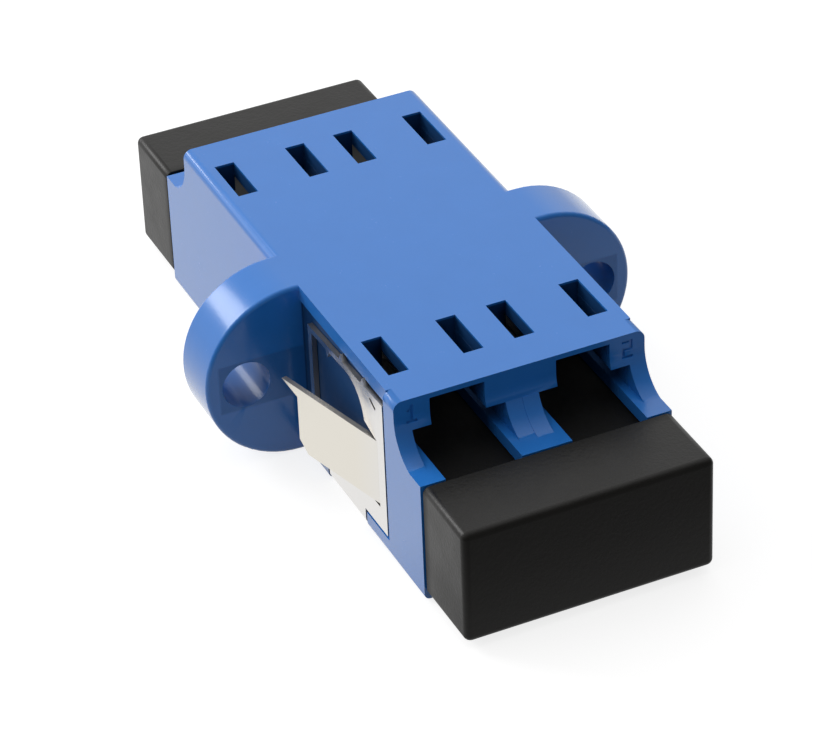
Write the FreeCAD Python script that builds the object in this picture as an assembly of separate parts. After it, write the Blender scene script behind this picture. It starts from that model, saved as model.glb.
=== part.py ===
import FreeCAD, Part
import math
import os

# Duplex LC fibre adapter with a screw flange, a sprung steel panel clip and two dust caps.
# Millimetres. X runs across the two ports, Y along them, Z up.
# The origin is the middle of the housing, where the flange, the web and the sleeves are centred.
# "Front" is the -Y end, on the clip's side of the flange.

V = FreeCAD.Vector

# ---- Housing ----------------------------------------------------------------
BODY_WIDTH = 12.5
BODY_HEIGHT = 9.1
BODY_LENGTH = 29.4          # between the two low end faces
TOP_LENGTH = 24.2           # of the full-height middle
LEDGE_HEIGHT = 6.26         # of the low ends, from the underside
SWEEP_RADIUS = 2.0          # of the hollow between the full height and the low ends
SWEEP_DIP = 0.06            # of its lowest point under the ledge, so it ends in a crease
TOP_EDGE_RADIUS = 0.45
BOTTOM_EDGE_RADIUS = 0.3
TOP_WALL = 0.8
FLOOR_WALL = 1.0

# ---- Flange -----------------------------------------------------------------
FLANGE_WIDTH = 22.0
FLANGE_THICKNESS = 3.0
FLANGE_EDGE_RADIUS = 0.2
SCREW_PITCH = 18.0
SCREW_HOLE_DIAMETER = 2.4

# ---- Ports, one each side of the middle, the same at both ends -----------------
PORT_PITCH = 6.25
PORT_WIDTH = 4.6
PORT_HEIGHT = 4.6
RAIL_GAP = 3.75             # between the two rails that the latch lugs run on
LUG_SLOT_HEIGHT = 1.24
LATCH_CHANNEL_WIDTH = 2.7
CHANNEL_LIP = 0.26          # of roof left at the channel's mouth
CHANNEL_LEAD = 1.3          # slope behind that lip, for a latch to ride in on
CROSSBAR_LENGTH = 2.1       # along Y, from the full-height end face to the windows
WINDOW_LENGTH = 3.0
WINDOW_WIDTH = 1.0
CHANNEL_WEB = 1.0           # of plastic between the flange's plane and the channel's end

# ---- Port numbers, sunk in the front end --------------------------------------
DIGIT_HEIGHT = 0.8
DIGIT_WIDTH = 0.4
DIGIT_STROKE = 0.14
DIGIT_DEPTH = 0.08

# ---- Sleeves and their holders --------------------------------------------------
FERRULE_DIAMETER = 1.25
SLEEVE_WALL = 0.185
SLEEVE_LENGTH = 6.6
SLEEVE_SLIT = 0.3
SLEEVE_PLAY = 0.02          # radial, in the holder
SLEEVE_END_PLAY = 0.1
HOLDER_DIAMETER = 2.6
HOLDER_LIP = 0.6
HOLDER_LIP_CLEARANCE = 0.1  # radial, around the ferrule
HOLDER_LEAD = 0.25          # mouth chamfer
HOLDER_SPLIT = 0.04         # between the front and rear holders
HOLDER_BORE_CLEARANCE = 0.05
COLLAR_THICKNESS = 0.8
COLLAR_CLEARANCE = 0.1

# ---- Panel clip -------------------------------------------------------------------
SHEET = 0.25
CLIP_SEAT = 0.03            # between the sheet and its pocket's floor
CLIP_POCKET_GAP = 0.15      # around the sheet's outline
CLIP_REAR_GAP = 1.15        # from the flange
CLIP_LENGTH = 8.2
CLIP_DROP = 1.35            # from the housing's top to the rail, at the flange end
CLIP_RISE = 0.45            # of the rail towards the front
CLIP_LIFT = 1.0             # of the side plates' lower edge above the underside
CLIP_RAIL = 0.3
CLIP_POST = 0.4
CLIP_BEND_RADIUS = 0.45     # outside, where the strap turns up
STRAP_SETBACK = 1.7         # from the side plates' rear edge
STRAP_LENGTH = 4.05
BAND_RELIEF = 0.15          # of the plain wall above the clip
TOOTH_WIDTH = 0.5
TOOTH_HEIGHT = 0.35
KEY_SLOT_LENGTH = 0.65
KEY_SLOT_WIDTH = 0.16
KEY_SLOT_TILT = 25.0

# ---- Spring tabs, cut from the clip's side plates ----------------------------------
TAB_ROOT = 0.85             # of plate in front of the bend
TAB_LENGTH = 5.7
TAB_HEIGHT = 3.45
TAB_LIFT = 1.35             # above the side plates' lower edge
TAB_SLIT = 0.15
TAB_SPREAD = 15.0           # degrees out of the side plate
TAB_HORN = 1.1              # pointed upper corner, past the tab's end
TAB_HORN_HEIGHT = 0.5
TAB_CORNER = 0.6            # cut off the lower corner
BEND_GAP = 0.02
WINDOW_NECK = 1.25          # sloping edge of the cut-out, from the bend
WINDOW_ROUND = 1.75         # rounded corner of the cut-out, along Y
WINDOW_NECK_RISE = 0.35
WINDOW_FULLNESS = 0.66      # of the rounded corner; 0.707 is a quarter ellipse

# ---- Dust caps -------------------------------------------------------------------------
CAP_WIDTH = 12.4
CAP_DEPTH = 4.1
CAP_OVERLAP = 0.02          # above the ledge
CAP_LIFT = 0.37             # above the housing's underside
CAP_EDGE_RADIUS = 0.35      # not on the edges that meet the housing
PRONG_LENGTH = 8.0
PRONG_CLEARANCE = 0.1       # each side, in the port
PRONG_LEAD = 0.3
CAP_STANDOFF = {"front": 0.12, "rear": 0.22}    # from fully home

# ---- Levels and stations that follow from the above ---------------------------------------
TOP = BODY_HEIGHT / 2
BOTTOM = -TOP
SIDE = BODY_WIDTH / 2
LEDGE = BOTTOM + LEDGE_HEIGHT
PORT_FLOOR = BOTTOM + FLOOR_WALL
PORT_ROOF = PORT_FLOOR + PORT_HEIGHT
FERRULE_AXIS = PORT_FLOOR + PORT_HEIGHT / 2
CHANNEL_ROOF = TOP - TOP_WALL
LOW_END = BODY_LENGTH / 2
HIGH_END = TOP_LENGTH / 2
WEB = FLANGE_THICKNESS / 2
WINDOW_OUTER = HIGH_END - CROSSBAR_LENGTH
WINDOW_INNER = WINDOW_OUTER - WINDOW_LENGTH
PORT_CENTRES = {"left": -PORT_PITCH / 2, "right": PORT_PITCH / 2}
PAST = 1.0                  # how far a cut runs past the face it opens

CLIP_REAR = -(WEB + CLIP_REAR_GAP)
CLIP_FRONT = CLIP_REAR - CLIP_LENGTH
CLIP_TOP_REAR = TOP - CLIP_DROP
CLIP_TOP_FRONT = CLIP_TOP_REAR + CLIP_RISE
CLIP_BOTTOM = BOTTOM + CLIP_LIFT
STRAP_REAR = CLIP_REAR - STRAP_SETBACK
STRAP_FRONT = STRAP_REAR - STRAP_LENGTH
POCKET_DEPTH = SHEET + CLIP_SEAT
POCKET_TOP = CLIP_TOP_FRONT + CLIP_POCKET_GAP
POCKET_FRONT = CLIP_FRONT - CLIP_POCKET_GAP
BEND_Y = CLIP_FRONT + TAB_ROOT
BEND_X = SIDE - SHEET / 2
TAB_BOTTOM = CLIP_BOTTOM + TAB_LIFT
TAB_TOP = TAB_BOTTOM + TAB_HEIGHT


def box(x, y, z):
    """A box from its lowest and highest value on each axis."""
    size = V(x[1] - x[0], y[1] - y[0], z[1] - z[0])
    return Part.makeBox(size.x, size.y, size.z, V(x[0], y[0], z[0]))


def centred(width, middle=0.0):
    """The lowest and highest value of a width about its middle."""
    return (middle - width / 2, middle + width / 2)


def lathe_y(profile, centre):
    """A solid turned about a line along Y through centre, from (radius, y) points."""
    points = [V(radius, y, 0) for radius, y in profile]
    face = Part.Face(Part.makePolygon(points + points[:1]))
    turned = face.revolve(V(0, 0, 0), V(0, 1, 0), 360)
    turned.translate(centre)
    return turned


def sheet_x(points, arcs=()):
    """The left side plate's sheet with a (y, z) outline; arcs maps a side's number to its mid point."""
    corners = [V(-SIDE, y, z) for y, z in points]
    edges = []
    for number, start in enumerate(corners):
        end = corners[(number + 1) % len(corners)]
        if number in dict(arcs):
            middle = V(-SIDE, *dict(arcs)[number])
            edges.append(Part.Arc(start, middle, end).toShape())
        else:
            edges.append(Part.makeLine(start, end))
    return Part.Face(Part.Wire(edges)).extrude(V(SHEET, 0, 0))


def mirror_x(shape):
    return shape.mirror(V(0, 0, 0), V(1, 0, 0))


def mirror_y(shape):
    return shape.mirror(V(0, 0, 0), V(0, 1, 0))


def edges_along_y(shape, x, z):
    """The straight edges along Y at the given distance from the middle and height."""
    found = []
    for edge in shape.Edges:
        low, high = edge.BoundBox.getPoint(0), edge.BoundBox.getPoint(6)
        flat = edge.BoundBox.XLength < 1e-6 and edge.BoundBox.ZLength < 1e-6
        if flat and abs(abs(low.x) - x) < 1e-6 and abs(high.z - z) < 1e-6:
            found.append(edge)
    return found


# ---- Housing -----------------------------------------------------------------------------------
def body_block():
    """The outer form: a full-height middle that sweeps down to a low ledge at both ends."""
    centre = V(-SIDE, HIGH_END + SWEEP_RADIUS, LEDGE - SWEEP_DIP + SWEEP_RADIUS)
    last = math.acos((SWEEP_RADIUS - SWEEP_DIP) / SWEEP_RADIUS)
    arc = [centre - V(0, math.sin(turn), math.cos(turn)) * SWEEP_RADIUS for turn in (math.pi / 4, last)]
    half = [
        V(-SIDE, HIGH_END, TOP),
        V(-SIDE, HIGH_END, centre.z),
        arc[0],
        arc[1],
        V(-SIDE, LOW_END, LEDGE),
        V(-SIDE, LOW_END, BOTTOM),
    ]
    near = [V(point.x, -point.y, point.z) for point in half]
    edges = [Part.makeLine(near[0], half[0]), Part.makeLine(half[5], near[5])]
    for side in (half, near):
        edges.append(Part.makeLine(side[0], side[1]))
        edges.append(Part.Arc(side[1], side[2], side[3]).toShape())
        edges.append(Part.makeLine(side[3], side[4]))
        edges.append(Part.makeLine(side[4], side[5]))
    outline = Part.Wire(Part.__sortEdges__(edges))
    block = Part.Face(outline).extrude(V(BODY_WIDTH, 0, 0))
    block = block.makeFillet(TOP_EDGE_RADIUS, edges_along_y(block, SIDE, TOP))
    return block.makeFillet(BOTTOM_EDGE_RADIUS, edges_along_y(block, SIDE, BOTTOM))


def flange():
    """A plate with round ends as high as the body, flush with its top and underside."""
    middle = box(centred(FLANGE_WIDTH - BODY_HEIGHT), (-WEB, WEB), (BOTTOM, TOP))
    for side in (-1, 1):
        centre = V(side * (FLANGE_WIDTH - BODY_HEIGHT) / 2, -WEB, 0)
        middle = middle.fuse(Part.makeCylinder(TOP, FLANGE_THICKNESS, centre, V(0, 1, 0)))
    plate = middle.removeSplitter()
    rims = [edge for edge in plate.Edges if edge.BoundBox.YLength < 1e-6]
    return plate.makeFillet(FLANGE_EDGE_RADIUS, rims)


def screw_holes():
    start = -(WEB + PAST)
    holes = []
    for side in (-1, 1):
        centre = V(side * SCREW_PITCH / 2, start, 0)
        holes.append(Part.makeCylinder(SCREW_HOLE_DIAMETER / 2, -2 * start, centre, V(0, 1, 0)))
    return holes


def channel_lead(x):
    """The slope that thins the latch channel's roof towards its mouth, at the rear (+Y) end."""
    side = x - LATCH_CHANNEL_WIDTH / 2
    lip = TOP - CHANNEL_LIP
    points = [
        V(side, HIGH_END - CHANNEL_LEAD, CHANNEL_ROOF),
        V(side, HIGH_END + PAST, CHANNEL_ROOF),
        V(side, HIGH_END + PAST, lip),
        V(side, HIGH_END, lip),
    ]
    face = Part.Face(Part.makePolygon(points + points[:1]))
    return face.extrude(V(LATCH_CHANNEL_WIDTH, 0, 0))


def port_cuts(x):
    """The hollow for one plug, from the rear (+Y) end: body, rails, latch channel, lugs, windows."""
    out = LOW_END + PAST
    lug_roof = LEDGE + LUG_SLOT_HEIGHT
    cuts = [
        box(centred(PORT_WIDTH, x), (WEB, out), (PORT_FLOOR, PORT_ROOF)),
        box(centred(RAIL_GAP, x), (WINDOW_INNER, out), (PORT_ROOF, LEDGE)),
        box(centred(LATCH_CHANNEL_WIDTH, x), (WEB + CHANNEL_WEB, out), (PORT_ROOF, CHANNEL_ROOF)),
        box(centred(PORT_WIDTH, x), (WINDOW_INNER, out), (LEDGE, lug_roof)),
        box(centred(PORT_WIDTH, x), (WINDOW_INNER, WINDOW_OUTER), (LEDGE, CHANNEL_ROOF)),
        channel_lead(x),
    ]
    for side in (-1, 1):
        middle = x + side * (LATCH_CHANNEL_WIDTH + WINDOW_WIDTH) / 2
        window = (WINDOW_INNER, WINDOW_OUTER)
        cuts.append(box(centred(WINDOW_WIDTH, middle), window, (CHANNEL_ROOF, TOP + PAST)))
    return cuts


def holder_bore(x):
    """The hole through the web that the two holders' spigots meet in."""
    radius = HOLDER_DIAMETER / 2 + HOLDER_BORE_CLEARANCE
    start = V(x, -(WEB + PAST), FERRULE_AXIS)
    return Part.makeCylinder(radius, 2 * (WEB + PAST), start, V(0, 1, 0))


def clip_core():
    """What the clip wraps round: the housing's width and underside less the sheet, with round corners."""
    width = 2 * (SIDE - POCKET_DEPTH)
    block = box(centred(width), (-LOW_END, LOW_END), (BOTTOM + POCKET_DEPTH, TOP + PAST))
    edges = edges_along_y(block, width / 2, BOTTOM + POCKET_DEPTH)
    return block.makeFillet(CLIP_BEND_RADIUS - SHEET + CLIP_SEAT, edges)


def clip_pockets():
    """Room for the clip's side plates and strap, and the shallow relief above the plates."""
    wide = centred(BODY_WIDTH + 2 * PAST)
    plates = box(wide, (POCKET_FRONT, -WEB), (CLIP_BOTTOM - CLIP_POCKET_GAP, POCKET_TOP))
    strap_y = (STRAP_FRONT - CLIP_POCKET_GAP, STRAP_REAR + CLIP_POCKET_GAP)
    strap = box(wide, strap_y, (BOTTOM - PAST, CLIP_BOTTOM))
    sheet_room = plates.fuse(strap).cut(clip_core())
    band = box(wide, (POCKET_FRONT, -WEB), (POCKET_TOP, TOP + PAST))
    band = band.cut(box(centred(BODY_WIDTH - 2 * BAND_RELIEF), (POCKET_FRONT, -WEB), (BOTTOM, TOP + PAST)))
    return [sheet_room, band]


def band_filler():
    """Squares off the rounded top edges over the clip, where the wall stands back."""
    return box(centred(BODY_WIDTH - 2 * BAND_RELIEF), (POCKET_FRONT, 0), (TOP - TOP_EDGE_RADIUS, TOP))


def digit_strokes(digit):
    """The strokes of a plain figure in a box one wide and one high, as (x, z) end points."""
    strokes = {
        1: [((0.5, 0), (0.5, 1)), ((0.1, 0.75), (0.5, 1)), ((0, 0), (1, 0))],
        2: [((0, 1), (1, 1)), ((1, 1), (1, 0.5)), ((1, 0.5), (0, 0.5)), ((0, 0.5), (0, 0)), ((0, 0), (1, 0))],
    }
    return strokes[digit]


def digit_cut(digit, x, z):
    """A figure sunk in the front full-height end face, centred on x and z."""
    cuts = []
    for start, end in digit_strokes(digit):
        from_x, to_x = (x + (point[0] - 0.5) * DIGIT_WIDTH for point in (start, end))
        from_z, to_z = (z + (point[1] - 0.5) * DIGIT_HEIGHT for point in (start, end))
        length = math.hypot(to_x - from_x, to_z - from_z)
        depth = (-HIGH_END - PAST, -HIGH_END + DIGIT_DEPTH)
        bar = box((-DIGIT_STROKE / 2, length + DIGIT_STROKE / 2), depth, centred(DIGIT_STROKE))
        bar.rotate(V(0, 0, 0), V(0, -1, 0), math.degrees(math.atan2(to_z - from_z, to_x - from_x)))
        bar.translate(V(from_x, 0, from_z))
        cuts.append(bar)
    return cuts


def housing():
    cuts = screw_holes() + clip_pockets()
    for x in PORT_CENTRES.values():
        rear = port_cuts(x)
        cuts += rear + [mirror_y(cut) for cut in rear] + [holder_bore(x)]
    block_middle = (SIDE + PORT_PITCH / 2 + LATCH_CHANNEL_WIDTH / 2) / 2
    digit_z = (TOP + LEDGE + LUG_SLOT_HEIGHT) / 2
    cuts += digit_cut(1, -block_middle, digit_z) + digit_cut(2, block_middle, digit_z)
    shell = body_block().fuse([flange(), band_filler()])
    return shell.cut(cuts).removeSplitter()


# ---- Sleeves and holders --------------------------------------------------------------------------
def alignment_sleeve(x):
    """A split tube that lines up two ferrules; its slit is on top."""
    bore = FERRULE_DIAMETER / 2
    half = SLEEVE_LENGTH / 2
    outside = bore + SLEEVE_WALL
    profile = [(bore, -half), (outside, -half), (outside, half), (bore, half)]
    tube = lathe_y(profile, V(x, 0, FERRULE_AXIS))
    slit = box(centred(SLEEVE_SLIT, x), (-half - PAST, half + PAST), (FERRULE_AXIS, FERRULE_AXIS + bore + PAST))
    return tube.cut(slit)


def sleeve_holder(x):
    """The rear holder of one port: a collar on the web, a spigot through it and a lipped tube."""
    room = FERRULE_DIAMETER / 2 + SLEEVE_WALL + SLEEVE_PLAY
    mouth = FERRULE_DIAMETER / 2 + HOLDER_LIP_CLEARANCE
    outside = HOLDER_DIAMETER / 2
    lip = SLEEVE_LENGTH / 2 + SLEEVE_END_PLAY
    end = lip + HOLDER_LIP
    profile = [
        (room, HOLDER_SPLIT / 2),
        (outside, HOLDER_SPLIT / 2),
        (outside, end),
        (mouth + HOLDER_LEAD, end),
        (mouth, end - HOLDER_LEAD),
        (mouth, lip),
        (room, lip),
    ]
    tube = lathe_y(profile, V(x, 0, FERRULE_AXIS))
    across = PORT_WIDTH - 2 * COLLAR_CLEARANCE
    high = PORT_HEIGHT - 2 * COLLAR_CLEARANCE
    collar = box(centred(across, x), (WEB, WEB + COLLAR_THICKNESS), centred(high, FERRULE_AXIS))
    hole = Part.makeCylinder(room, COLLAR_THICKNESS, V(x, WEB, FERRULE_AXIS), V(0, 1, 0))
    return tube.fuse(collar.cut(hole)).removeSplitter()


# ---- Panel clip -----------------------------------------------------------------------------------
def tooth(y, z, up):
    """A small pressed point on the rail's upper or lower edge."""
    tip = z + up * TOOTH_HEIGHT
    base = z - up * CLIP_RAIL / 4
    return sheet_x([(y - TOOTH_WIDTH / 2, base), (y + TOOTH_WIDTH / 2, base), (y, tip)])


def key_slot(y, z):
    """A narrow slot pierced through the plate near its front upper corner."""
    slot = box((-SIDE - PAST, -SIDE + SHEET + PAST), centred(KEY_SLOT_LENGTH), centred(KEY_SLOT_WIDTH))
    slot.rotate(V(0, 0, 0), V(1, 0, 0), KEY_SLOT_TILT)
    slot.translate(V(0, y, z))
    return slot


def rail_top(y):
    """The height of the side plate's upper edge at y."""
    return CLIP_TOP_REAR + CLIP_RISE * (CLIP_REAR - y) / CLIP_LENGTH


def clip_cutout():
    """The opening that the tab is cut from: square at the flange, rounded towards the bend."""
    rear = CLIP_REAR - CLIP_POST
    front = BEND_Y - SHEET / 2 - BEND_GAP
    neck = BEND_Y + WINDOW_NECK
    roof_start = neck + WINDOW_ROUND
    roof_rear = rail_top(rear) - CLIP_RAIL
    roof = rail_top(roof_start) - CLIP_RAIL
    slit = TAB_BOTTOM - TAB_SLIT
    neck_z = TAB_TOP + WINDOW_NECK_RISE
    round_middle = (neck + WINDOW_ROUND * (1 - math.sqrt(0.5)), neck_z + (roof - neck_z) * WINDOW_FULLNESS)
    points = [(rear, slit), (rear, roof_rear), (roof_start, roof), (neck, neck_z), (front, TAB_TOP), (front, slit)]
    return sheet_x(points, {2: round_middle}.items())


def side_plate():
    """The left side plate: a frame round the tab, with teeth and a pierced slot."""
    points = [
        (CLIP_REAR, CLIP_BOTTOM),
        (CLIP_REAR, CLIP_TOP_REAR),
        (CLIP_FRONT, CLIP_TOP_FRONT),
        (CLIP_FRONT, CLIP_BOTTOM),
    ]
    neck = BEND_Y + WINDOW_NECK
    middle = (STRAP_REAR + STRAP_FRONT) / 2
    slot_y = (CLIP_FRONT + neck) / 2
    plate = sheet_x(points).cut([clip_cutout(), key_slot(slot_y, rail_top(slot_y) - CLIP_RAIL - KEY_SLOT_WIDTH)])
    teeth = [
        tooth(neck, rail_top(neck), 1),
        tooth(middle, rail_top(middle), 1),
        tooth(STRAP_REAR - TOOTH_WIDTH, rail_top(STRAP_REAR - TOOTH_WIDTH) - CLIP_RAIL, -1),
    ]
    return plate.fuse(teeth)


def strap():
    """The strip that joins the two side plates under the housing."""
    y = (STRAP_FRONT, STRAP_REAR)
    outer = box(centred(BODY_WIDTH), y, (BOTTOM, CLIP_BOTTOM))
    outer = outer.makeFillet(CLIP_BEND_RADIUS, edges_along_y(outer, SIDE, BOTTOM))
    width = BODY_WIDTH - 2 * SHEET
    inner = box(centred(width), y, (BOTTOM + SHEET, CLIP_BOTTOM + PAST))
    inner = inner.makeFillet(CLIP_BEND_RADIUS - SHEET, edges_along_y(inner, width / 2, BOTTOM + SHEET))
    return outer.cut(inner)


def panel_clip():
    left = side_plate()
    return strap().fuse([left, mirror_x(left)]).removeSplitter()


def spring_tab():
    """The left tab: a leaf that turns at a rounded root, spread away from the side plate."""
    end = BEND_Y + TAB_LENGTH
    points = [
        (BEND_Y, TAB_BOTTOM),
        (end - TAB_CORNER, TAB_BOTTOM),
        (end, TAB_BOTTOM + TAB_CORNER),
        (end, TAB_TOP - TAB_HORN_HEIGHT),
        (end + TAB_HORN, TAB_TOP),
        (BEND_Y, TAB_TOP),
    ]
    root = Part.makeCylinder(SHEET / 2, TAB_HEIGHT, V(-BEND_X, BEND_Y, TAB_BOTTOM))
    leaf = sheet_x(points).fuse(root).removeSplitter()
    leaf.rotate(V(-BEND_X, BEND_Y, 0), V(0, 0, 1), TAB_SPREAD)
    return leaf


# ---- Dust caps -----------------------------------------------------------------------------------
def prong(x):
    """The rear cap's prong for one port, with a tapered tip."""
    width = PORT_WIDTH - 2 * PRONG_CLEARANCE
    height = PORT_HEIGHT - 2 * PRONG_CLEARANCE
    block = box(centred(width, x), (LOW_END - PRONG_LENGTH, LOW_END + CAP_DEPTH / 2), centred(height, FERRULE_AXIS))
    tip = [edge for edge in block.Edges if edge.BoundBox.YMax < LOW_END - PRONG_LENGTH + 1e-6]
    return block.makeChamfer(PRONG_LEAD, tip)


def dust_cap():
    """The rear cap, fully home: a soft-edged block across the end with a prong in each port."""
    z = (BOTTOM + CAP_LIFT, LEDGE + CAP_OVERLAP)
    block = box(centred(CAP_WIDTH), (LOW_END, LOW_END + CAP_DEPTH), z)
    outer = [edge for edge in block.Edges if edge.BoundBox.YMax > LOW_END + PAST]
    block = block.makeFillet(CAP_EDGE_RADIUS, outer)
    return block.fuse([prong(x) for x in PORT_CENTRES.values()]).removeSplitter()


def build():
    """Every piece, by its node's name."""
    tab = spring_tab()
    cap = dust_cap()
    front_cap = mirror_y(cap)
    rear_cap = cap.copy()
    front_cap.translate(V(0, -CAP_STANDOFF["front"], 0))
    rear_cap.translate(V(0, CAP_STANDOFF["rear"], 0))
    pieces = {
        "housing": housing(),
        "panel_clip": panel_clip(),
        "clip_tab_left": tab,
        "clip_tab_right": mirror_x(tab),
        "dust_cap_front": front_cap,
        "dust_cap_rear": rear_cap,
    }
    for side, x in PORT_CENTRES.items():
        holder = sleeve_holder(x)
        pieces["alignment_sleeve_" + side] = alignment_sleeve(x)
        pieces["sleeve_holder_rear_" + side] = holder
        pieces["sleeve_holder_front_" + side] = mirror_y(holder)
    return pieces


os.makedirs("parts", exist_ok=True)
for node, shape in build().items():
    shape.exportStep("parts/" + node + ".step")
    print(node, len(shape.Solids), "solid", shape.isValid(), round(shape.Volume, 3), "mm3")
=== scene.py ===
import math
import bmesh
import bpy
from mathutils import Matrix, Vector


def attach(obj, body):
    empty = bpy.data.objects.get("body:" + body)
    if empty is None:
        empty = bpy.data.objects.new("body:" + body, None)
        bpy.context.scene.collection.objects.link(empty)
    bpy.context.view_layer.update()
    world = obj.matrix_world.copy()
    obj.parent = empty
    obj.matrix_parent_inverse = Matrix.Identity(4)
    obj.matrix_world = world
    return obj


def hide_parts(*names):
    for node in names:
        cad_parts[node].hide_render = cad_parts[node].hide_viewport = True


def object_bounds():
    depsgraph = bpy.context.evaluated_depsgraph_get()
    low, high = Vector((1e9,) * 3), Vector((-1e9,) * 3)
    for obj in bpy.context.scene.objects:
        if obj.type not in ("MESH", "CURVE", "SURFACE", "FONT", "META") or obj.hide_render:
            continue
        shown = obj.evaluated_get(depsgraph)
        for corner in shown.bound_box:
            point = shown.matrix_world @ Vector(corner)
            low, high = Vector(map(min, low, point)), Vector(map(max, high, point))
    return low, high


# Duplex LC fibre adapter: blue moulded housing, sprung steel panel clip and two black dust caps.
# Sizes are in millimetres where a name or a note says so, and MM turns them into metres.
MM = 0.001

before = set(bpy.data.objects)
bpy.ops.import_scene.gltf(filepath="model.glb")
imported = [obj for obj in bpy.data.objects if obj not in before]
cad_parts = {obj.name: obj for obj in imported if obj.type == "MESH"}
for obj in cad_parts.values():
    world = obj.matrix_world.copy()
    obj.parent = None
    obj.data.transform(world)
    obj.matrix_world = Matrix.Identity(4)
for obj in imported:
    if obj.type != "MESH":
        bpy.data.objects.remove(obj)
cad_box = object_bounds()


# ---- Node helpers --------------------------------------------------------------------------------
def feed(tree, socket, value):
    """Gives an input socket its value: another socket, a number or a colour of three numbers."""
    if isinstance(value, tuple):
        socket.default_value = (*value, 1.0)
    elif isinstance(value, (int, float)):
        socket.default_value = value
    else:
        tree.links.new(value, socket)


def maths(tree, operation, first, second=0.0):
    """One sum on two values, each a socket or a number."""
    node = tree.nodes.new("ShaderNodeMath")
    node.operation = operation
    feed(tree, node.inputs[0], first)
    feed(tree, node.inputs[1], second)
    return node.outputs["Value"]


def spread(tree, value, low, high, to_low, to_high):
    """Maps a value from one range to another, held at the ends."""
    node = tree.nodes.new("ShaderNodeMapRange")
    node.inputs["From Min"].default_value = low
    node.inputs["From Max"].default_value = high
    node.inputs["To Min"].default_value = to_low
    node.inputs["To Max"].default_value = to_high
    tree.links.new(value, node.inputs["Value"])
    return node.outputs["Result"]


def tint(tree, mask, first, second, blend="MIX"):
    """A colour that goes from first to second with the mask; each is a socket or three numbers."""
    node = tree.nodes.new("ShaderNodeMix")
    node.data_type = "RGBA"
    node.blend_type = blend
    feed(tree, node.inputs[0], mask)
    feed(tree, node.inputs[6], first)
    feed(tree, node.inputs[7], second)
    return node.outputs[2]


def noise(tree, place, scale, detail=2.0, rough=0.5):
    """A noise texture on the given coordinates; scale is per millimetre, a number or a socket."""
    node = tree.nodes.new("ShaderNodeTexNoise")
    node.inputs["Detail"].default_value = detail
    node.inputs["Roughness"].default_value = rough
    if isinstance(scale, (int, float)):
        node.inputs["Scale"].default_value = scale / MM
    else:
        tree.links.new(maths(tree, "MULTIPLY", scale, 1 / MM), node.inputs["Scale"])
    tree.links.new(place, node.inputs["Vector"])
    return node.outputs["Fac"]


def where(tree, kind="Object"):
    """Texture coordinates of one kind, whole."""
    return tree.nodes.new("ShaderNodeTexCoord").outputs[kind]


def axes(tree, vector):
    """The X, Y and Z of a vector."""
    node = tree.nodes.new("ShaderNodeSeparateXYZ")
    tree.links.new(vector, node.inputs["Vector"])
    return node.outputs


# ---- Shared surface effects ----------------------------------------------------------------------
DEEP_LABELS = ("Half Width", "Half Length", "Half Height", "Strength")


def new_group(name, inputs, outputs):
    """An empty node group whose named inputs and outputs are all plain numbers."""
    group = bpy.data.node_groups.new(name, "ShaderNodeTree")
    for label in inputs:
        group.interface.new_socket(label, in_out="INPUT", socket_type="NodeSocketFloat")
    for label in outputs:
        group.interface.new_socket(label, in_out="OUTPUT", socket_type="NodeSocketFloat")
    entry = group.nodes.new("NodeGroupInput")
    leave = group.nodes.new("NodeGroupOutput")
    return group, entry.outputs, leave.inputs


def moulded_skin_group():
    """The skin of a moulded piece: fine tool grain, slow waviness and faint handling marks."""
    inputs = ("Grain", "Grain Depth", "Wave", "Wave Depth")
    group, entry, leave = new_group("moulded_skin", inputs, ("Height", "Mottle", "Marks"))
    place = where(group)
    grain = noise(group, place, entry["Grain"], 3.0, 0.6)
    wave = noise(group, place, entry["Wave"], 1.0)
    mottle = noise(group, place, 0.5, 5.0, 0.6)
    marks = noise(group, place, 3.2, 5.0, 0.75)
    fine = maths(group, "MULTIPLY", grain, entry["Grain Depth"])
    slow = maths(group, "MULTIPLY", wave, entry["Wave Depth"])
    group.links.new(maths(group, "ADD", fine, slow), leave["Height"])
    group.links.new(mottle, leave["Mottle"])
    group.links.new(spread(group, marks, 0.6, 0.72, 0.0, 1.0), leave["Marks"])
    return group


def rolled_sheet_group():
    """Sheet steel: long faint rolling lines along Y, soft waviness, a few specks."""
    group, entry, leave = new_group("rolled_sheet", ("Streak Depth",), ("Height", "Streaks", "Specks"))
    place = where(group)
    stretch = group.nodes.new("ShaderNodeMapping")
    stretch.inputs["Scale"].default_value = (1.0, 0.06, 1.0)
    group.links.new(place, stretch.inputs["Vector"])
    streaks = noise(group, stretch.outputs["Vector"], 14.0, 4.0, 0.6)
    wave = noise(group, place, 0.45, 1.0)
    specks = noise(group, place, 2.4)
    lines = maths(group, "MULTIPLY", streaks, entry["Streak Depth"])
    group.links.new(maths(group, "ADD", lines, wave), leave["Height"])
    group.links.new(streaks, leave["Streaks"])
    group.links.new(spread(group, specks, 0.78, 0.81, 0.0, 0.8), leave["Specks"])
    return group


def deep_faces_group():
    """The strength inside a box centred on the part, nothing outside it; sizes are in millimetres."""
    group, entry, leave = new_group("deep_faces", DEEP_LABELS, ("Inside",))
    parts = axes(group, where(group))
    inside = entry["Strength"]
    for axis, label, fade in (("X", "Half Width", 0.1), ("Y", "Half Length", 1.0), ("Z", "Half Height", 0.1)):
        reach = maths(group, "MULTIPLY", maths(group, "ABSOLUTE", parts[axis]), 1 / MM)
        depth = spread(group, maths(group, "SUBTRACT", entry[label], reach), 0.0, fade, 0.0, 1.0)
        inside = maths(group, "MULTIPLY", inside, depth)
    group.links.new(inside, leave["Inside"])
    return group


MOULDED_SKIN = moulded_skin_group()
ROLLED_SHEET = rolled_sheet_group()
DEEP_FACES = deep_faces_group()


# ---- Materials -----------------------------------------------------------------------------------
COAT_ROUGHNESS = 0.14
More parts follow.
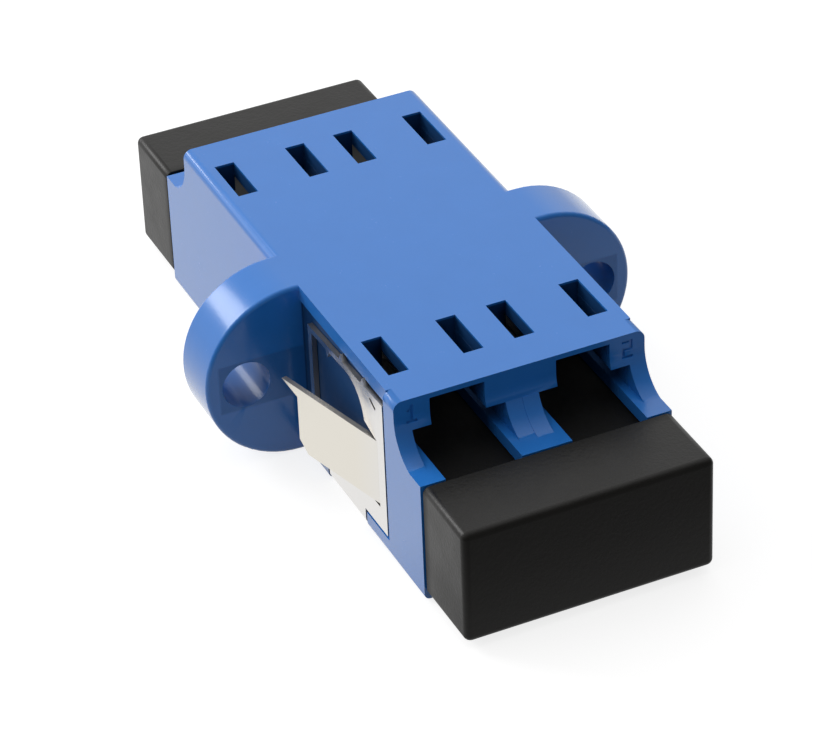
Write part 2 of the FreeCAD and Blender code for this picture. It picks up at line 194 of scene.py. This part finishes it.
# Inside the ports and windows, where the colour is darkened as painted shade: how much rougher the faces are,
# and the share of the coat left on them.
DEEP_ROUGHER = 0.35
DEEP_COAT = 0.1
# The steel's sheet, specks and cut edges, whose grey is partly the sheared finish and partly painted shade,
# and the stretch along Y in millimetres over which it turns warm.
SHEET_DARK = (0.765, 0.75, 0.73)
SHEET_BRIGHT = (0.81, 0.795, 0.775)
SPECK_COLOUR = (0.22, 0.19, 0.16)
CUT_GREY_AND_SHADE = (0.42, 0.40, 0.37)
CUT_ROUGHER = 0.2
STREAK_ROUGHER = 0.08
WARM_FROM, WARM_TO = -10.9, -8.5


def place_group(tree, group, values):
    """A node group set in a material with its own values."""
    node = tree.nodes.new("ShaderNodeGroup")
    node.node_tree = group
    for label, value in values.items():
        node.inputs[label].default_value = value
    return node.outputs


def new_material(name, group, group_values, roughness, coat, metallic, bump, ior=1.5):
    """A material with one shader, one surface effect and a bump fed by it; bump is a depth in mm."""
    material = bpy.data.materials.new(name)
    material.use_nodes = True
    tree = material.node_tree
    shader = tree.nodes["Principled BSDF"].inputs
    shader["Metallic"].default_value = metallic
    shader["Roughness"].default_value = roughness
    shader["IOR"].default_value = ior
    shader["Coat Weight"].default_value = coat
    shader["Coat Roughness"].default_value = COAT_ROUGHNESS
    shader["Coat IOR"].default_value = ior
    effect = place_group(tree, group, group_values)
    relief = tree.nodes.new("ShaderNodeBump")
    relief.inputs["Distance"].default_value = bump * MM
    relief.inputs["Strength"].default_value = 1.0
    tree.links.new(effect["Height"], relief.inputs["Height"])
    tree.links.new(relief.outputs["Normal"], shader["Normal"])
    return material, tree, shader, effect


def plastic(
        name, colour, other, skin, roughness, rough_range, coat, bump, ior=1.5, deep=(), painted_shade_colour=None):
    """A moulded plastic, mottled a little in colour and gloss; rougher, less coated and darkened with painted
    shade in the boxes that deep gives.
    """
    material, tree, shader, effect = new_material(name, MOULDED_SKIN, skin, roughness, coat, 0.0, bump, ior)
    skin_colour = tint(tree, effect["Mottle"], colour, other)
    gloss = spread(tree, effect["Mottle"], 0.3, 0.7, roughness, roughness + rough_range)
    worn = maths(tree, "MULTIPLY", effect["Marks"], rough_range)
    gloss = maths(tree, "ADD", gloss, worn)
    hidden = None
    for sizes in deep:
        inside = place_group(tree, DEEP_FACES, dict(zip(DEEP_LABELS, sizes)))["Inside"]
        hidden = inside if hidden is None else maths(tree, "MAXIMUM", hidden, inside)
    if hidden:
        gloss = maths(tree, "ADD", gloss, maths(tree, "MULTIPLY", hidden, DEEP_ROUGHER))
        # Painted shade: faces inside the boxes take the darker colour.
        skin_colour = tint(tree, hidden, skin_colour, painted_shade_colour)
        if coat:
            tree.links.new(spread(tree, hidden, 0.0, 1.0, coat, DEEP_COAT * coat), shader["Coat Weight"])
    tree.links.new(skin_colour, shader["Base Color"])
    tree.links.new(gloss, shader["Roughness"])
    return material


def steel(name, roughness, warm=(1.0, 1.0, 1.0)):
    """Bright rolled sheet, grey and rougher on its cut edges (the grey partly painted shade), warmer away
    from the tabs' bend.
    """
    material, tree, shader, effect = new_material(
        name, ROLLED_SHEET, {"Streak Depth": 0.25}, roughness, 0.0, 1.0, 0.004)
    sheet = tint(tree, effect["Streaks"], SHEET_DARK, SHEET_BRIGHT)
    specked = tint(tree, effect["Specks"], sheet, SPECK_COLOUR)
    warmth = spread(tree, axes(tree, where(tree))["Y"], WARM_FROM * MM, WARM_TO * MM, 0.0, 1.0)
    warmed = tint(tree, warmth, specked, warm, "MULTIPLY")
    # Faces not turned to ±X, the cut edges, go grey: partly their rough sheared finish, partly painted shade
    # for the dark they mirror.
    sideways = maths(tree, "ABSOLUTE", axes(tree, where(tree, "Normal"))["X"])
    edge = spread(tree, sideways, 0.35, 0.6, 1.0, 0.0)
    tree.links.new(tint(tree, edge, warmed, CUT_GREY_AND_SHADE), shader["Base Color"])
    gloss = spread(tree, effect["Streaks"], 0.3, 0.7, roughness, roughness + STREAK_ROUGHER)
    gloss = maths(tree, "ADD", gloss, maths(tree, "MULTIPLY", edge, CUT_ROUGHER))
    tree.links.new(gloss, shader["Roughness"])
    return material


# The boxes of hidden faces, made rougher and darkened with painted shade: half width, half length and half
# height in millimetres, and a strength.
PORTS = (6.08, 12.08, 4.5, 1.0)
SCREW_HOLES = (10.4, 2.2, 1.35, 0.45)
CAP_PRONGS = (9.0, 15.4, 9.0, 1.0)

# The last colour given to each plastic below is painted shade for the deep faces in its boxes.
BLUE = plastic(
    "blue_moulding", (0.020, 0.182, 0.600), (0.026, 0.204, 0.660),
    {"Grain": 12.0, "Grain Depth": 0.25, "Wave": 0.3, "Wave Depth": 1.0},
    roughness=0.2, rough_range=0.06, coat=1.0, bump=0.003, ior=1.31,
    deep=(PORTS, SCREW_HOLES), painted_shade_colour=(0.004, 0.045, 0.150))
BLACK = plastic(
    "black_soft_vinyl", (0.0055, 0.005, 0.004), (0.009, 0.008, 0.0065),
    {"Grain": 5.0, "Grain Depth": 1.0, "Wave": 0.5, "Wave Depth": 1.0},
    roughness=0.32, rough_range=0.08, coat=0.0, bump=0.012, ior=1.37,
    deep=(CAP_PRONGS,), painted_shade_colour=(0.003, 0.003, 0.0027))
STEEL = steel("bright_sheet_steel", 0.16)
TAB_STEEL = steel("bright_tab_steel", 0.18, (1.0, 0.975, 0.90))
CERAMIC = plastic(
    "zirconia", (0.86, 0.85, 0.80), (0.90, 0.89, 0.85),
    {"Grain": 16.0, "Grain Depth": 0.1, "Wave": 0.6, "Wave Depth": 0.2},
    roughness=0.12, rough_range=0.05, coat=0.4, bump=0.001)
WHITE = plastic(
    "white_moulding", (0.74, 0.74, 0.71), (0.80, 0.80, 0.77),
    {"Grain": 10.0, "Grain Depth": 0.4, "Wave": 0.4, "Wave Depth": 0.6},
    roughness=0.35, rough_range=0.1, coat=0.0, bump=0.003)


# ---- Pieces --------------------------------------------------------------------------------------
# How an eased piece is made: what counts as one point, as flat and as a sharp edge, in mm and degrees.
SAME_POINT = 0.0005
FLAT = 0.5
SHARP = 50.0
# Radii of the eased edges in millimetres, and the box of buried edges that stay sharp, as half sizes.
PLASTIC_EDGE = 0.05
HOLDER_EDGE = 0.04
SLEEVE_EDGE = 0.02
BURIED = (6.0, 12.0, 4.4)
# The housing's front end, in millimetres: the full-height end face, and the hollow below it.
HIGH_END = 12.1
SWEEP_RADIUS = 2.0
SWEEP_CENTRE = 3.65
# The proud half of the middle post in that hollow: millimetres, and degrees down the hollow.
POST_HALF = 0.82
STEP_RISE = 0.03
STEP_ROOT = 0.06
STEP_START = 20.5
STEP_END = 83.0


def finish_piece(name, work, material, body):
    """Turns a bmesh in millimetres into a piece that rides on a body."""
    bmesh.ops.scale(work, vec=(MM, MM, MM), verts=work.verts)
    mesh = bpy.data.meshes.new(name)
    work.to_mesh(mesh)
    work.free()
    mesh.shade_smooth()
    mesh.set_sharp_from_angle(angle=math.radians(SHARP))
    mesh.materials.append(material)
    piece = bpy.data.objects.new(name, mesh)
    bpy.context.scene.collection.objects.link(piece)
    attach(piece, body)
    return piece


def is_corner(edge, kept):
    """Whether an edge is sharp and not wholly inside the kept box, given by its half sizes."""
    if len(edge.link_faces) != 2 or edge.calc_face_angle() <= math.radians(SHARP):
        return False
    return not all(abs(end.co[axis]) < kept[axis] for end in edge.verts for axis in range(3))


def eased_copy(node, body, material, radius, kept=(0.0, 0.0, 0.0)):
    """Stands for a node: its flat faces joined up, its sharp edges but the kept ones rounded a little."""
    work = bmesh.new()
    work.from_mesh(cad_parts[node].data)
    bmesh.ops.scale(work, vec=(1 / MM, 1 / MM, 1 / MM), verts=work.verts)
    bmesh.ops.remove_doubles(work, verts=work.verts, dist=SAME_POINT)
    bmesh.ops.dissolve_limit(
        work, angle_limit=math.radians(FLAT), use_dissolve_boundaries=False,
        verts=work.verts, edges=work.edges)
    if radius:
        corners = [edge for edge in work.edges if is_corner(edge, kept)]
        bmesh.ops.bevel(
            work, geom=corners, offset=radius, offset_type="OFFSET", affect="EDGES", segments=2, profile=0.5,
            material=-1, clamp_overlap=True)
    piece = finish_piece(node + "_eased", work, material, body)
    weighted = piece.modifiers.new("even_shading", "WEIGHTED_NORMAL")
    weighted.keep_sharp = True
    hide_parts(node)


def parting_step():
    """The right half of the front post's hollow, which stands a little proud along the parting line."""
    centre = (0.0, -HIGH_END - SWEEP_RADIUS, SWEEP_CENTRE)
    section = (POST_HALF / 2, -HIGH_END + (STEP_ROOT - STEP_RISE) / 2, SWEEP_CENTRE)
    work = bmesh.new()
    bmesh.ops.create_grid(work, x_segments=1, y_segments=1, size=0.5)
    bmesh.ops.scale(work, vec=(POST_HALF, STEP_RISE + STEP_ROOT, 1.0), verts=work.verts)
    bmesh.ops.translate(work, vec=section, verts=work.verts)
    lowered = Matrix.Rotation(math.radians(-STEP_START), 3, "X")
    bmesh.ops.rotate(work, cent=centre, matrix=lowered, verts=work.verts)
    bmesh.ops.spin(
        work, geom=work.faces[:] + work.edges[:] + work.verts[:], cent=centre, axis=(1.0, 0.0, 0.0),
        dvec=(0.0, 0.0, 0.0), angle=math.radians(STEP_START - STEP_END), steps=18, use_duplicate=False,
        use_merge=False)
    bmesh.ops.recalc_face_normals(work, faces=work.faces)
    finish_piece("parting_step", work, BLUE, "adapter")


eased_copy("housing", "adapter", BLUE, PLASTIC_EDGE, BURIED)
eased_copy("panel_clip", "adapter", STEEL, 0.0)
eased_copy("clip_tab_left", "left_tab", TAB_STEEL, 0.0)
eased_copy("clip_tab_right", "right_tab", TAB_STEEL, 0.0)
eased_copy("dust_cap_front", "front_cap", BLACK, PLASTIC_EDGE)
eased_copy("dust_cap_rear", "rear_cap", BLACK, PLASTIC_EDGE)
parting_step()
for side in ("left", "right"):
    eased_copy("alignment_sleeve_" + side, "adapter", CERAMIC, SLEEVE_EDGE)
    for end in ("front", "rear"):
        eased_copy("sleeve_holder_" + end + "_" + side, "adapter", WHITE, HOLDER_EDGE)


# ---- Floor, light and camera ---------------------------------------------------------------------
FLOOR_GREY = (0.35, 0.35, 0.35)
FLOOR_SEEN = 0.8
FLOOR_SIZE = 3.0            # metres, half its width
FLOOR_GAP = 0.02            # millimetres under the lowest point
# The floor as gloss shows it: dim in front, bright behind; millimetres along Y, and the levels there.
GLOSS_FRONT, GLOSS_BACK = -26.0, -10.0
GLOSS_LOW, GLOSS_HIGH = 0.25, 0.98
# The surround brightens along this direction, from dim in front to full above and behind.
SKY_LEAN = (-0.15, 0.65, 0.55)
SKY_LOW, SKY_HIGH = 0.2, 1.08
SKY_FULL = 0.6


def floor_material():
    """White to the camera with a soft shadow kept, dimmer in gloss towards the front, clear from below."""
    material = bpy.data.materials.new("studio_floor")
    material.use_nodes = True
    tree = material.node_tree
    shader = tree.nodes["Principled BSDF"]
    shader.inputs["Base Color"].default_value = (*FLOOR_GREY, 1.0)
    shader.inputs["Roughness"].default_value = 0.9
    shader.inputs["Specular IOR Level"].default_value = 0.0
    shader.inputs["Emission Color"].default_value = (1.0, 1.0, 1.0, 1.0)
    path = tree.nodes.new("ShaderNodeLightPath").outputs
    seen = maths(tree, "MULTIPLY", path["Is Camera Ray"], FLOOR_SEEN)
    tree.links.new(seen, shader.inputs["Emission Strength"])
    along = axes(tree, where(tree))["Y"]
    level = spread(tree, along, GLOSS_FRONT * MM, GLOSS_BACK * MM, GLOSS_LOW, GLOSS_HIGH)
    glow = tree.nodes.new("ShaderNodeEmission")
    tree.links.new(level, glow.inputs["Strength"])
    mirrored = maths(tree, "MAXIMUM", path["Is Glossy Ray"], path["Is Transmission Ray"])
    mix = tree.nodes.new("ShaderNodeMixShader")
    tree.links.new(mirrored, mix.inputs[0])
    tree.links.new(shader.outputs[0], mix.inputs[1])
    tree.links.new(glow.outputs[0], mix.inputs[2])
    one_way = tree.nodes.new("ShaderNodeMixShader")
    tree.links.new(tree.nodes.new("ShaderNodeNewGeometry").outputs["Backfacing"], one_way.inputs[0])
    tree.links.new(mix.outputs[0], one_way.inputs[1])
    tree.links.new(tree.nodes.new("ShaderNodeBsdfTransparent").outputs[0], one_way.inputs[2])
    tree.links.new(one_way.outputs[0], tree.nodes["Material Output"].inputs["Surface"])
    return material


def floor():
    """A wide flat sheet just under the lowest point."""
    work = bmesh.new()
    bmesh.ops.create_grid(work, x_segments=1, y_segments=1, size=FLOOR_SIZE)
    bmesh.ops.translate(work, vec=(0.0, 0.0, cad_box[0].z - FLOOR_GAP * MM), verts=work.verts)
    mesh = bpy.data.meshes.new("floor")
    work.to_mesh(mesh)
    work.free()
    mesh.materials.append(floor_material())
    ground = bpy.data.objects.new("floor", mesh)
    bpy.context.scene.collection.objects.link(ground)


def studio_world():
    """White to the camera; a plain surround, brighter above and behind than in front, to the object."""
    world = bpy.data.worlds.new("studio")
    world.use_nodes = True
    tree = world.node_tree
    back = tree.nodes["Background"]
    parts = axes(tree, where(tree, "Generated"))
    leans = [maths(tree, "MULTIPLY", parts[axis], share) for axis, share in zip("XYZ", SKY_LEAN)]
    lean = maths(tree, "ADD", maths(tree, "ADD", leans[1], leans[0]), leans[2])
    level = spread(tree, lean, 0.0, SKY_FULL, SKY_LOW, SKY_HIGH)
    seen = tree.nodes.new("ShaderNodeLightPath").outputs["Is Camera Ray"]
    tree.links.new(maths(tree, "MAXIMUM", level, seen), back.inputs["Strength"])
    back.inputs["Color"].default_value = (1.0, 1.0, 1.0, 1.0)
    bpy.context.scene.world = world


def softbox(name, place, target, size, power):
    """A square area lamp at place, turned to face target; sizes are in millimetres, power in watts."""
    data = bpy.data.lights.new(name, "AREA")
    data.shape = "SQUARE"
    data.size = size * MM
    data.energy = power
    lamp = bpy.data.objects.new(name, data)
    lamp.location = Vector(place) * MM
    lamp.rotation_euler = (Vector(target) - Vector(place)).to_track_quat("-Z", "Y").to_euler()
    bpy.context.scene.collection.objects.link(lamp)


def camera(place, ahead, right, lens):
    """A camera at a place in millimetres, with its forward and right directions."""
    data = bpy.data.cameras.new("camera")
    data.sensor_width = 36.0
    data.lens = lens
    data.clip_start = 0.01
    eye = bpy.data.objects.new("camera", data)
    ahead = Vector(ahead).normalized()
    down = ahead.cross(Vector(right).normalized()).normalized()
    right = down.cross(ahead).normalized()
    turn = Matrix((right, -down, -ahead)).transposed()
    eye.matrix_world = Matrix.Translation(Vector(place) * MM) @ turn.to_4x4()
    bpy.context.scene.collection.objects.link(eye)
    bpy.context.scene.camera = eye


floor()
studio_world()
softbox("key", (-150, 190, 140), (0, 0, 0), 120, 0.3)
# A long lens, looking down on the front left corner.
camera((-63.653, -145.085, 105.777), (0.3305, 0.7559, -0.5652), (0.9054, -0.4231, -0.0364), 177.99)
bpy.context.scene.view_settings.view_transform = "Standard"
